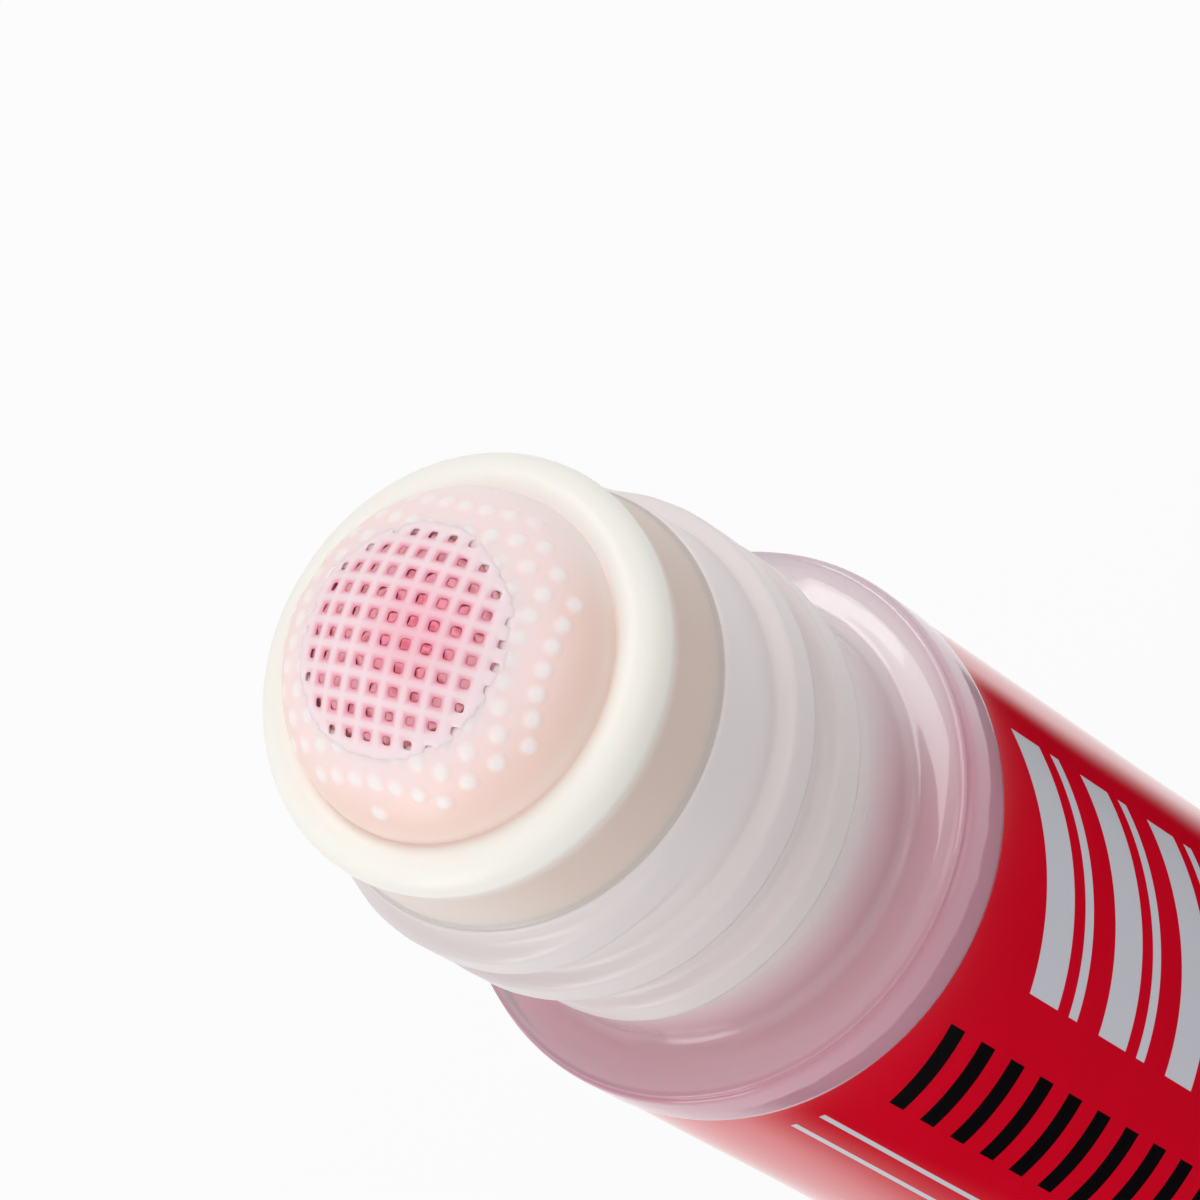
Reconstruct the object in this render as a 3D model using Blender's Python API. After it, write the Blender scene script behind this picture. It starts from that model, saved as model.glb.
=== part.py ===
"""Net-tip glue bottle, standing on its base with its axis on Z, in metres.

A clear bottle carries a film label and holds the glue. A soft stopper is pressed into its neck. The
stopper's dome carries a domed net with square gaps, and a sponge pad lies behind the net.
Every turned piece is one outline of (radius, height) points spun about Z with the same facets, so the
gaps between pieces stay even all round.
"""
import math

import bmesh
import bpy

# facets round every turned piece, and steps along a rounded corner, a short stretch, the flank and the rim
SEGMENTS = 48
ROUND_STEPS = 4
SHORT_STEPS = 2
FLANK_STEPS = 8
RIM_STEPS = 9
WELD = 1e-7

# clearances: between pieces that touch on the real object, and under and beside the thin film
SEAT_GAP = 0.0003
FILM_GAP = 0.0002

# bottle: neck, shoulder and body
NECK_RADIUS = 0.0126
NECK_WALL = 0.0017
NECK_FILLET = 0.0007
NECK_RISE = 0.0229
LIP_ROUND = 0.0003
SHOULDER_WIDTH = 0.0034
SHOULDER_CORNER = 0.0014
SHOULDER_SLOPE = math.radians(10)
BODY_HEIGHT = 0.0755
WALL = 0.0010
LEAST_ROUND = 0.0001

# bottle: heel, standing ring and the hollow under the base
HEEL_ROUND = 0.0030
RING_WIDTH = 0.0028
PUSH_UP = 0.0020

# label film, flush in a shallow panel round the body
LABEL_DROP = 0.0035
LABEL_RISE = 0.0032
LABEL_THICKNESS = 0.0002

# glue, filled to a little below the plug
GLUE_DROP = 0.0025

# stopper: rim, waist and plug, with heights counted from the bottle's lip
RIM_RISE = 0.0056
RIM_INSET = 0.00205
RIM_ROUND = 0.0016
RIM_CREASE_ANGLE = math.radians(120)
RIM_UNDER_ANGLE = math.radians(-25)
WAIST_INSET = 0.0002
WAIST_FOOT_ROUND = 0.0002
PLUG_LENGTH = 0.0154
PLUG_TAPER = 0.0003
PLUG_LEAD_IN = 0.0006
PLUG_WALL = 0.0018

# stopper: dome and its flank, with the sponge's chamber and its seat inside
DOME_RADIUS = 0.01368
DOME_CENTRE_DROP = 0.00613
FLANK_LAND = 0.00052
FLANK_PULL = 0.35
FLANK_THICKNESS = 0.0022
CHAMBER_WALL = 0.0013
SEAT_RISE = 0.0008
SEAT_THICKNESS = 0.0012
FEED_RADIUS = 0.0050

# net, with lengths measured along the dome from its top
NET_PITCH = 0.001287
NET_THREAD = 0.00058
NET_THICKNESS = 0.0005
NET_TURN = math.radians(17.74)
NET_SHIFT_X = 0.00012
NET_SHIFT_Y = -0.00019
NET_OPEN_RADIUS = 0.00625
NET_MARGIN = 0.00105
LEDGE_MARGIN = 0.00045

# bottle heights and radii that follow from the sizes above
BODY_RADIUS = NECK_RADIUS + SHOULDER_WIDTH
BORE_RADIUS = NECK_RADIUS - NECK_WALL
LIP_HEIGHT = BODY_HEIGHT + NECK_RISE
RING_INNER_RADIUS = BODY_RADIUS - HEEL_ROUND - RING_WIDTH
LABEL_TOP = BODY_HEIGHT - LABEL_DROP
LABEL_BOTTOM = HEEL_ROUND + LABEL_RISE
PANEL_RADIUS = BODY_RADIUS - LABEL_THICKNESS - FILM_GAP
GLUE_LEVEL = LIP_HEIGHT - PLUG_LENGTH - GLUE_DROP

# stopper and net sizes that follow from the sizes above
RIM_RING_RADIUS = NECK_RADIUS - RIM_INSET
WAIST_FOOT_RADIUS = NECK_RADIUS - WAIST_INSET
PLUG_RADIUS = BORE_RADIUS - SEAT_GAP
GLUE_WAY_RADIUS = PLUG_RADIUS - PLUG_WALL
DOME_CENTRE = RIM_RISE - DOME_CENTRE_DROP
NET_INNER_RADIUS = DOME_RADIUS - NET_THICKNESS
NET_EDGE_RADIUS = NET_OPEN_RADIUS + NET_MARGIN
LEDGE_RADIUS = NET_INNER_RADIUS - SEAT_GAP
LEDGE_INNER_ANGLE = (NET_OPEN_RADIUS + LEDGE_MARGIN) / DOME_RADIUS
LEDGE_OUTER_ANGLE = (NET_EDGE_RADIUS + SEAT_GAP) / DOME_RADIUS
DOME_EDGE_ANGLE = LEDGE_OUTER_ANGLE + FLANK_LAND / DOME_RADIUS
CREASE_RADIUS = RIM_RING_RADIUS + RIM_ROUND * math.cos(RIM_CREASE_ANGLE)
CREASE_RISE = RIM_RISE + RIM_ROUND * math.sin(RIM_CREASE_ANGLE)
CHAMBER_RADIUS = CREASE_RADIUS - CHAMBER_WALL
CHAMBER_DOME_RADIUS = DOME_RADIUS - FLANK_THICKNESS

SHARP_ANGLE = math.radians(32)


def arc(centre_r, centre_z, radius, start, end, steps=ROUND_STEPS):
    """Points on a circle from one angle to another, counted from outward towards up."""
    turns = [start + (end - start) * k / steps for k in range(steps + 1)]
    return [(centre_r + radius * math.cos(a), centre_z + radius * math.sin(a)) for a in turns]


def cap_arc(radius, start, end, steps=ROUND_STEPS):
    """Points on the dome's sphere, or one inside it, from one angle off the axis to another."""
    turns = [start + (end - start) * k / steps for k in range(steps + 1)]
    return [(radius * math.sin(a), DOME_CENTRE + radius * math.cos(a)) for a in turns]


def spun_mesh(name, outline, closed):
    """Spin an outline once round Z; an unclosed outline has both ends on the axis."""
    bm = bmesh.new()
    points = [bm.verts.new((r, 0, z)) for r, z in outline]
    pairs = list(zip(points, points[1:]))
    if closed:
        pairs.append((points[-1], points[0]))
    edges = [bm.edges.new(pair) for pair in pairs]
    bmesh.ops.spin(bm, geom=points + edges, cent=(0, 0, 0), axis=(0, 0, 1), angle=math.tau,
                   steps=SEGMENTS, use_merge=True)
    bmesh.ops.remove_doubles(bm, verts=bm.verts, dist=WELD)
    bmesh.ops.recalc_face_normals(bm, faces=bm.faces)
    mesh = bpy.data.meshes.new(name)
    bm.to_mesh(mesh)
    bm.free()
    mesh.shade_smooth()
    mesh.set_sharp_from_angle(angle=SHARP_ANGLE)
    return mesh


def add_piece(name, mesh, colour, roughness, height=0.0, parent=None):
    """Put a mesh in the scene as one named piece with its own plain material."""
    piece = bpy.data.objects.new(name, mesh)
    bpy.context.scene.collection.objects.link(piece)
    piece.parent = parent
    piece.location.z = height
    material = bpy.data.materials.new(name)
    material.use_nodes = True
    shader = material.node_tree.nodes["Principled BSDF"]
    shader.inputs["Base Color"].default_value = (*colour, 1.0)
    shader.inputs["Roughness"].default_value = roughness
    shader.inputs["Metallic"].default_value = 0.0
    mesh.materials.append(material)
    return piece


def base_curve(lift):
    """The hollow under the base from the axis to the standing ring, raised by lift."""
    radii = [RING_INNER_RADIUS * k / ROUND_STEPS for k in range(ROUND_STEPS + 1)]
    return [(r, lift + PUSH_UP * (1 - (r / RING_INNER_RADIUS) ** 2)) for r in radii]


def shoulder_corner(depth):
    """Rounded corner from the slope down to the upright wall, that far below the outer face."""
    rounding = max(SHOULDER_CORNER - depth, LEAST_ROUND)
    centre_r = BODY_RADIUS - depth - rounding
    moved_in = BODY_RADIUS - SHOULDER_CORNER - centre_r
    sunk = (SHOULDER_CORNER - depth - rounding) / math.cos(SHOULDER_SLOPE)
    centre_z = BODY_HEIGHT + moved_in * math.tan(SHOULDER_SLOPE) + sunk
    return arc(centre_r, centre_z, rounding, math.pi / 2 - SHOULDER_SLOPE, 0)


def shoulder_line(radius, depth):
    """Height of the sloping shoulder at a radius, that far below its outer face."""
    foot_r, foot_z = shoulder_corner(depth)[0]
    return foot_z + (foot_r - radius) * math.tan(SHOULDER_SLOPE)


def hollow(inset):
    """The bottle's inside, moved inwards by inset, from the floor's centre up to the bore."""
    depth = WALL + inset
    bore = BORE_RADIUS - inset
    outline = base_curve(depth)
    outline += arc(BODY_RADIUS - HEEL_ROUND, HEEL_ROUND, HEEL_ROUND - depth, -math.pi / 2, 0)
    outline += reversed(shoulder_corner(depth))
    outline.append((bore, shoulder_line(bore, depth)))
    return outline


def bottle_outline():
    """Inside of the bottle, over the lip, and down the outside to the base's centre."""
    outline = hollow(0)
    outline += arc(BORE_RADIUS + LIP_ROUND, LIP_HEIGHT - LIP_ROUND, LIP_ROUND, math.pi, math.pi / 2)
    outline += arc(NECK_RADIUS - LIP_ROUND, LIP_HEIGHT - LIP_ROUND, LIP_ROUND, math.pi / 2, 0)
    fillet_r = NECK_RADIUS + NECK_FILLET
    touch_r = fillet_r - NECK_FILLET * math.sin(SHOULDER_SLOPE)
    fillet_z = shoulder_line(touch_r, 0) + NECK_FILLET * math.cos(SHOULDER_SLOPE)
    outline += arc(fillet_r, fillet_z, NECK_FILLET, math.pi, 1.5 * math.pi - SHOULDER_SLOPE)
    outline += shoulder_corner(0)
    outline.append((BODY_RADIUS, LABEL_TOP + FILM_GAP))
    outline.append((PANEL_RADIUS, LABEL_TOP + FILM_GAP))
    outline.append((PANEL_RADIUS, LABEL_BOTTOM - FILM_GAP))
    outline.append((BODY_RADIUS, LABEL_BOTTOM - FILM_GAP))
    outline += arc(BODY_RADIUS - HEEL_ROUND, HEEL_ROUND, HEEL_ROUND, 0, -math.pi / 2)
    outline += reversed(base_curve(0))
    return outline


def label_outline():
    """Section of the film, a thin upright strip flush with the body."""
    inner = BODY_RADIUS - LABEL_THICKNESS
    return [(BODY_RADIUS, LABEL_TOP), (BODY_RADIUS, LABEL_BOTTOM), (inner, LABEL_BOTTOM), (inner, LABEL_TOP)]


def glue_outline():
    """The glue from its level in the neck down to the floor."""
    inside = hollow(SEAT_GAP)
    return [(0, GLUE_LEVEL), (inside[-1][0], GLUE_LEVEL)] + inside[::-1]


def flank_curve():
    """The flank: a curve that leaves the dome along its slope and comes down upright to the crease."""
    edge_r, edge_z = cap_arc(DOME_RADIUS, LEDGE_OUTER_ANGLE, DOME_EDGE_ANGLE)[-1]
    pull = FLANK_PULL * math.hypot(CREASE_RADIUS - edge_r, CREASE_RISE - edge_z)
    guides = [(edge_r, edge_z),
              (edge_r + pull * math.cos(DOME_EDGE_ANGLE), edge_z - pull * math.sin(DOME_EDGE_ANGLE)),
              (CREASE_RADIUS, CREASE_RISE + pull), (CREASE_RADIUS, CREASE_RISE)]
    points = []
    for k in range(1, FLANK_STEPS):
        t = k / FLANK_STEPS
        weights = ((1 - t) ** 3, 3 * t * (1 - t) ** 2, 3 * t ** 2 * (1 - t), t ** 3)
        points.append(tuple(sum(w * guide[axis] for w, guide in zip(weights, guides)) for axis in (0, 1)))
    return points


def stopper_outline():
    """Section of the stopper: dome flank, rim and plug outside, glue way, seat and chamber inside."""
    plug_end = PLUG_RADIUS - PLUG_TAPER
    seat_under = SEAT_RISE - SEAT_THICKNESS
    chamber_angle = math.asin(CHAMBER_RADIUS / CHAMBER_DOME_RADIUS)
    outline = cap_arc(LEDGE_RADIUS, LEDGE_INNER_ANGLE, LEDGE_OUTER_ANGLE, SHORT_STEPS)
    outline += cap_arc(DOME_RADIUS, LEDGE_OUTER_ANGLE, DOME_EDGE_ANGLE, SHORT_STEPS)
    outline += flank_curve()
    outline += arc(RIM_RING_RADIUS, RIM_RISE, RIM_ROUND, RIM_CREASE_ANGLE, RIM_UNDER_ANGLE, RIM_STEPS)
    outline += arc(WAIST_FOOT_RADIUS - WAIST_FOOT_ROUND, SEAT_GAP + WAIST_FOOT_ROUND, WAIST_FOOT_ROUND,
                   0, -math.pi / 2, SHORT_STEPS)
    outline.append((PLUG_RADIUS, SEAT_GAP))
    outline.append((plug_end, PLUG_LEAD_IN - PLUG_LENGTH))
    outline.append((plug_end - PLUG_LEAD_IN, -PLUG_LENGTH))
    outline.append((GLUE_WAY_RADIUS, -PLUG_LENGTH))
    outline.append((GLUE_WAY_RADIUS, seat_under))
    outline.append((FEED_RADIUS, seat_under))
    outline.append((FEED_RADIUS, SEAT_RISE))
    outline.append((CHAMBER_RADIUS, SEAT_RISE))
    outline += cap_arc(CHAMBER_DOME_RADIUS, chamber_angle, LEDGE_INNER_ANGLE)
    return outline


def sponge_outline():
    """The pad: a boss that fills the opening under the net, on a disc that fills the chamber."""
    boss_radius = NET_INNER_RADIUS - SEAT_GAP
    disc_radius = CHAMBER_RADIUS - SEAT_GAP
    disc_dome = CHAMBER_DOME_RADIUS - SEAT_GAP
    boss_angle = LEDGE_INNER_ANGLE - SEAT_GAP / CHAMBER_DOME_RADIUS
    disc_angle = math.asin(disc_radius / disc_dome)
    floor = SEAT_RISE + SEAT_GAP
    outline = cap_arc(boss_radius, 0, boss_angle)
    outline += cap_arc(disc_dome, boss_angle, disc_angle)
    outline.append((disc_radius, floor))
    outline.append((0, floor))
    return outline


def net_mesh(name):
    """A square grid with its gaps left open round the middle, trimmed round and laid on the dome.

    The grid is drawn flat. Each point keeps its direction from the top of the dome, and its distance
    from the middle becomes its distance along the dome.
    """
    half = NET_THREAD / 2
    rows = math.ceil(NET_EDGE_RADIUS / NET_PITCH) + 1
    lines = []
    for k in range(-rows, rows + 1):
        lines.append(k * NET_PITCH - half)
        lines.append(k * NET_PITCH + half)
    turn_c = math.cos(NET_TURN)
    turn_s = math.sin(NET_TURN)

    def placed(a, b):
        return NET_SHIFT_X + a * turn_c - b * turn_s, NET_SHIFT_Y + a * turn_s + b * turn_c

    bm = bmesh.new()
    grid = [[bm.verts.new((*placed(a, b), 0)) for b in lines] for a in lines]
    last = len(lines) - 1
    for i in range(last):
        for j in range(last):
            middle = placed((lines[i] + lines[i + 1]) / 2, (lines[j] + lines[j + 1]) / 2)
            between_threads = i % 2 == 1 and j % 2 == 1
            if between_threads and math.hypot(*middle) < NET_OPEN_RADIUS:
                continue
            bm.faces.new((grid[i][j], grid[i + 1][j], grid[i + 1][j + 1], grid[i][j + 1]))

    side = math.pi / SEGMENTS
    apothem = NET_EDGE_RADIUS * math.cos(side)
    for k in range(SEGMENTS):
        way = (2 * k + 1) * side
        normal = (math.cos(way), math.sin(way), 0)
        bmesh.ops.bisect_plane(bm, geom=bm.verts[:] + bm.edges[:] + bm.faces[:], dist=WELD,
                               plane_co=(apothem * normal[0], apothem * normal[1], 0), plane_no=normal,
                               clear_outer=True)
    for vert in bm.verts:
        reach = math.hypot(vert.co.x, vert.co.y)
        way = math.atan2(vert.co.y, vert.co.x)
        fall = reach / DOME_RADIUS
        vert.co = (DOME_RADIUS * math.sin(fall) * math.cos(way),
                   DOME_RADIUS * math.sin(fall) * math.sin(way),
                   DOME_RADIUS * math.cos(fall))
    mesh = bpy.data.meshes.new(name)
    bm.to_mesh(mesh)
    bm.free()
    return mesh


for old in list(bpy.data.objects):
    bpy.data.objects.remove(old, do_unlink=True)

bottle = add_piece("bottle", spun_mesh("bottle", bottle_outline(), False), (0.86, 0.80, 0.81), 0.08)
add_piece("label", spun_mesh("label", label_outline(), True), (0.55, 0.004, 0.014), 0.18, parent=bottle)
add_piece("glue_fill", spun_mesh("glue_fill", glue_outline(), False), (0.84, 0.45, 0.54), 0.10, parent=bottle)

stopper = add_piece("applicator_stopper", spun_mesh("applicator_stopper", stopper_outline(), True),
                    (0.93, 0.90, 0.83), 0.38, height=LIP_HEIGHT)
add_piece("sponge_pad", spun_mesh("sponge_pad", sponge_outline(), False), (0.70, 0.09, 0.16), 0.80,
          parent=stopper)
net = add_piece("net", net_mesh("net"), (0.93, 0.80, 0.80), 0.45, height=DOME_CENTRE, parent=stopper)
body = net.modifiers.new("thickness", "SOLIDIFY")
body.thickness = NET_THICKNESS
body.offset = -1.0
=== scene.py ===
# %% [markdown]
# # A glue bottle with a net tip
# A clear blown bottle holds pink glue behind a glossy red film. A soft ivory stopper closes the neck. Its
# dome carries a woven net, and a wet sponge behind the net meters the glue.
# Each piece is a surface worked out with numpy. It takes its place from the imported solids, which say where
# every part sits and how it moves.

# %% Load the frame and keep its box
import math

import bpy
import numpy as np
from mathutils import Matrix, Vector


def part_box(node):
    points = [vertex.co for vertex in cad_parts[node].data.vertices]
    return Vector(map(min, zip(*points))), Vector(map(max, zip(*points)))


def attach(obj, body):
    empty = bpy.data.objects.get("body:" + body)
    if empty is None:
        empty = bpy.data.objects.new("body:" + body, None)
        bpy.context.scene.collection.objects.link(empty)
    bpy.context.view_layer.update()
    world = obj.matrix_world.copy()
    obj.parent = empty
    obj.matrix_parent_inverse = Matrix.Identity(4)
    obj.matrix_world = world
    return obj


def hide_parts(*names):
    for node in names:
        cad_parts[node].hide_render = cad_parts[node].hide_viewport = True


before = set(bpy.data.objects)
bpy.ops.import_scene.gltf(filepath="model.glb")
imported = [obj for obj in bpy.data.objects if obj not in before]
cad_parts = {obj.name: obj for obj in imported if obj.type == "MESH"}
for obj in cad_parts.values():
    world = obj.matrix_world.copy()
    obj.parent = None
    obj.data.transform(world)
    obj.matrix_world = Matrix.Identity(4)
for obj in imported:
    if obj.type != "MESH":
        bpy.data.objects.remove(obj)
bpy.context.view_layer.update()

MM = 0.001
scene = bpy.context.scene

# %% Read the heights that the pieces share
BODY_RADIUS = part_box("bottle")[1].x
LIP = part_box("bottle")[1].z
LABEL_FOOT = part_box("label")[0].z
LABEL_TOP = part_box("label")[1].z
GLUE_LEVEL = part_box("glue_fill")[1].z
PLUG_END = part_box("applicator_stopper")[0].z
PAD_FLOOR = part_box("sponge_pad")[0].z
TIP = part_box("net")[1].z
RIM_RISE = 5.6 * MM
RIM = LIP + RIM_RISE
print("lip at", round(LIP / MM, 2), "mm and tip at", round(TIP / MM, 2), "mm")

# %% [markdown]
# ## The camera
# The picture is a close-up: a long lens looks down on the tip, and the bottle runs out of the frame. A
# camera could be turned by hand until it looks right. Here it is placed from what a picture fixes: the tilt
# of the bottle's axis, the way that the axis leans across the frame, and the pixel where the rim's centre
# lies.

# %% Place the camera
FRAME_PIXELS = 1200
FOCAL_PIXELS = 7500
RIM_PIXEL = (465.65, 673.66)
RIM_DEPTH = 393.0 * MM
AXIS_TILT = math.radians(34.66)
AXIS_LEAN = math.radians(212.59)
SENSOR = 36.0
CLIP_START = 10 * MM

lean_c, lean_s = math.cos(AXIS_LEAN), math.sin(AXIS_LEAN)
tilt_c, tilt_s = math.cos(AXIS_TILT), math.sin(AXIS_TILT)
to_right = np.array([-lean_s, tilt_c * lean_c, tilt_s * lean_c])
to_bottom = np.array([lean_c, tilt_c * lean_s, tilt_s * lean_s])
onward = np.array([0.0, tilt_s, -tilt_c])
aside = (RIM_PIXEL[0] - FRAME_PIXELS / 2) / FOCAL_PIXELS * to_right
below = (RIM_PIXEL[1] - FRAME_PIXELS / 2) / FOCAL_PIXELS * to_bottom
eye = np.array([0.0, 0.0, RIM]) - RIM_DEPTH * (aside + below + onward)

camera = bpy.data.objects.new("camera", bpy.data.cameras.new("camera"))
scene.collection.objects.link(camera)
pose = np.eye(4)
pose[:3, :4] = np.stack([to_right, -to_bottom, -onward, eye], 1)
camera.matrix_world = Matrix(pose.tolist())
camera.data.sensor_width = SENSOR
camera.data.lens = SENSOR * FOCAL_PIXELS / FRAME_PIXELS
camera.data.clip_start = CLIP_START
scene.camera = camera
scene.view_settings.view_transform = "Standard"
print("camera at", (eye / MM).round(1), "mm")

# %% [markdown]
# ## Nodes in few words
# Every finish below is a small graph of shader nodes. A few helpers keep the graphs short enough to read.
# One adds a node and fills or links its inputs in the same call, and one starts a material whose constants
# sit on the shader's own sockets. The others do one small sum each.

# %% Helpers for materials


def add(tree, kind, inputs=None, **settings):
    """Add one shader node. An input given as a socket is linked, and any other value is set."""
    node = tree.nodes.new("ShaderNode" + kind)
    for name, value in settings.items():
        setattr(node, name, value)
    for name, value in (inputs or {}).items():
        if isinstance(value, bpy.types.NodeSocket):
            tree.links.new(value, node.inputs[name])
        else:
            node.inputs[name].default_value = value
    return node


def finish(name, sockets):
    """Start a material from one Principled shader, and return it with its tree and its shader."""
    material = bpy.data.materials.new(name)
    material.use_nodes = True
    tree = material.node_tree
    shader = tree.nodes["Principled BSDF"]
    for socket, value in sockets.items():
        shader.inputs[socket].default_value = value
    return material, tree, shader


def colour(red, green, blue):
    """A screen colour of 0 to 255 as the linear colour that a shader takes, by the usual screen curve."""
    share = np.array([red, green, blue]) / 255
    linear = np.where(share <= 0.04045, share / 12.92, ((share + 0.055) / 1.055) ** 2.4)
    return (*linear.tolist(), 1.0)


def blend(tree, factor, first, second):
    """Mix two colours or sockets. A colour mix takes its factor at socket 0 and its colours at 6 and 7."""
    return add(tree, "Mix", {0: factor, 6: first, 7: second}, data_type="RGBA").outputs[2]


def rise(tree, value, low, high, start=0.0, end=1.0):
    """A smooth step from start to end while value goes from low to high."""
    inputs = {"Value": value, "From Min": low, "From Max": high, "To Min": start, "To Max": end}
    return add(tree, "MapRange", inputs, interpolation_type="SMOOTHSTEP").outputs["Result"]


def place(tree):
    """The point on the piece, in the bottle's own frame, as a vector and as x, y and z."""
    point = add(tree, "TexCoord").outputs["Object"]
    parts = add(tree, "SeparateXYZ", {"Vector": point})
    return point, parts.outputs


def calc(tree, operation, first, second):
    """One sum with two numbers or sockets."""
    return add(tree, "Math", {0: first, 1: second}, operation=operation).outputs[0]


def towards(tree, point, way):
    """How far a point lies from the axis in a direction, which is given by its angle round the axis."""
    ahead = (math.cos(way), math.sin(way), 0.0)
    return add(tree, "VectorMath", {0: point, 1: ahead}, operation="DOT_PRODUCT").outputs["Value"]


def grain(tree, point, size, detail=2.0):
    """Noise with lumps of about that size in metres, from 0 to 1."""
    inputs = {"Vector": point, "Scale": 1 / size, "Detail": detail}
    return add(tree, "TexNoise", inputs).outputs["Fac"]


def dent(tree, shader, height, depth):
    """Drive the shader's normal from a height of 0 to 1, that many metres deep."""
    bump = add(tree, "Bump", {"Height": height, "Distance": depth, "Strength": 1.0})
    tree.links.new(bump.outputs["Normal"], shader.inputs["Normal"])


print("material helpers ready")

# %% [markdown]
# ## Light and floor
# The light is that of a white product table: soft lamps above, on the left and in front, a slim one that
# draws the streak on the shoulder, and an even white room. The floor is a matte white sheet. To the eye, and
# to mirrors and clear plastic, it glows almost white by itself, so the picture's ground is white while the
# object keeps a plain level of light. Its other shading still comes from the lamps, so the bottle's shadow
# stays.

# %% Light the table
WHITE = (1.0, 1.0, 1.0, 1.0)
ROOM_FILL = 0.64
LAMPS = {
    "above": ((0.19, 0.29, 0.76), (0.32, 0.46), 1.5),
    "front": ((0.35, -0.42, 0.65), (0.40, 0.40), 0.6),
    "left": ((-0.76, -0.14, 0.24), (0.60, 0.34), 2.1),
    "streak": ((0.20, 0.305, 0.555), (0.05, 0.14), 0.065),
}


def seen(tree):
    """One for rays from the eye, from mirrors and through clear plastic, and zero for soft light."""
    path = add(tree, "LightPath").outputs
    straight = calc(tree, "MAXIMUM", path["Is Camera Ray"], path["Is Glossy Ray"])
    return calc(tree, "MAXIMUM", straight, path["Is Transmission Ray"])


def soft_lamp(name, spot, size, watts):
    """A rectangular lamp at a spot, turned to face the bottle's lip."""
    data = bpy.data.lights.new(name, "AREA")
    data.shape = "RECTANGLE"
    data.size, data.size_y = size
    data.energy = watts
    lamp = bpy.data.objects.new(name, data)
    scene.collection.objects.link(lamp)
    back = np.array(spot) - np.array([0.0, 0.0, LIP])
    back /= np.linalg.norm(back)
    side = np.cross([0.0, 1.0, 0.0], back)
    side /= np.linalg.norm(side)
    turn = np.eye(4)
    turn[:3, :4] = np.stack([side, np.cross(back, side), back, spot], 1)
    lamp.matrix_world = Matrix(turn.tolist())
    lamp.visible_camera = False


for lamp_name, (spot, size, watts) in LAMPS.items():
    soft_lamp(lamp_name, spot, size, watts)

room = bpy.data.worlds.new("white_room")
room.use_nodes = True
scene.world = room
tree = room.node_tree
sky = tree.nodes["Background"]
sky.inputs["Color"].default_value = WHITE
tree.links.new(rise(tree, seen(tree), 0.0, 1.0, ROOM_FILL, 1.0), sky.inputs["Strength"])
print(len(LAMPS), "lamps in a white room")

# %% [markdown]
# The film round the bottle is as glossy as glass. If all that it mirrored were white paper, its red would
# look chalky. A photographer would lay a black card on the table in front of it. Here the paper is black
# only to mirrors, and only round the bottle's front. The card has a soft edge at each side, where the film's
# bright edges begin, and it ends short of what the shoulder and the neck mirror.

# %% Lay the floor
FLOOR_GLOW = 0.90
FLOOR_REACH = 3.0
CARD_CENTRE = (0.0, -5 * MM, 0.0)
CARD_EDGE = (55.3 * MM, 56.3 * MM)
RIGHT_WAY = math.radians(310)
RIGHT_EDGE = (2 * MM, 16 * MM)
LEFT_WAY = math.radians(260)
LEFT_EDGE = (-3 * MM, 27 * MM)


def dark_card(tree):
    """One for mirrors that look at the black card round the bottle's front, and zero for other rays."""
    point, _ = place(tree)
    reach = add(tree, "VectorMath", {0: point, 1: CARD_CENTRE}, operation="DISTANCE").outputs["Value"]
    right = rise(tree, towards(tree, point, RIGHT_WAY), *RIGHT_EDGE)
    left = rise(tree, towards(tree, point, LEFT_WAY), *LEFT_EDGE)
    near = rise(tree, reach, *CARD_EDGE, 1.0, 0.0)
    card = calc(tree, "MULTIPLY", near, calc(tree, "MAXIMUM", right, left))
    return calc(tree, "MULTIPLY", card, add(tree, "LightPath").outputs["Is Glossy Ray"])


sheet_mesh = bpy.data.meshes.new("floor")
edge = np.array([(-1, -1, 0), (1, -1, 0), (1, 1, 0), (-1, 1, 0)]) * FLOOR_REACH
sheet_mesh.from_pydata(edge.tolist(), [], [(0, 1, 2, 3)])
floor = bpy.data.objects.new("floor", sheet_mesh)
scene.collection.objects.link(floor)
paper, tree, shader = finish("floor_paper", {
    "Base Color": (0.75, 0.75, 0.77, 1.0), "Roughness": 0.9, "Specular IOR Level": 0.0})
glow = add(tree, "Emission", {"Color": WHITE, "Strength": 1.0})
share = calc(tree, "MULTIPLY", seen(tree), FLOOR_GLOW)
both = add(tree, "MixShader", {0: share, 1: shader.outputs[0], 2: glow.outputs[0]})
black = add(tree, "Emission", {"Strength": 0.0})
carded = add(tree, "MixShader", {0: dark_card(tree), 1: both.outputs[0], 2: black.outputs[0]})
tree.links.new(carded.outputs[0], tree.nodes["Material Output"].inputs["Surface"])
sheet_mesh.materials.append(paper)
print("floor", FLOOR_REACH * 2, "m wide")

# %% [markdown]
# ## Turned surfaces
# Most of this object is round: bottle, stopper, glue and pad are all an outline carried round an axis. A
# Screw modifier could turn it, but then nothing could be raised on the surface. So the outline is written
# with the few corners and arcs that it really has, walked in fine steps, softened so that no edge is sharper
# than a mould can make, and thinned again so that most points stay where it bends.

# %% Outlines
FINE = 0.02 * MM
BEND_WORTH = 3.0 * MM
BELL_SPREADS = 3


def arc(centre_r, centre_z, radius, start, end, steps=40):
    """Points on a circle from one angle to another in degrees, counted from outward towards up."""
    turn = np.radians(np.linspace(start, end, steps))
    return np.stack([centre_r + radius * np.cos(turn), centre_z + radius * np.sin(turn)], 1)


def outline(*stretches):
    """Join points and arcs into one broken line of (radius, height)."""
    return np.concatenate([np.atleast_2d(np.asarray(part, float)) for part in stretches])


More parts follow.
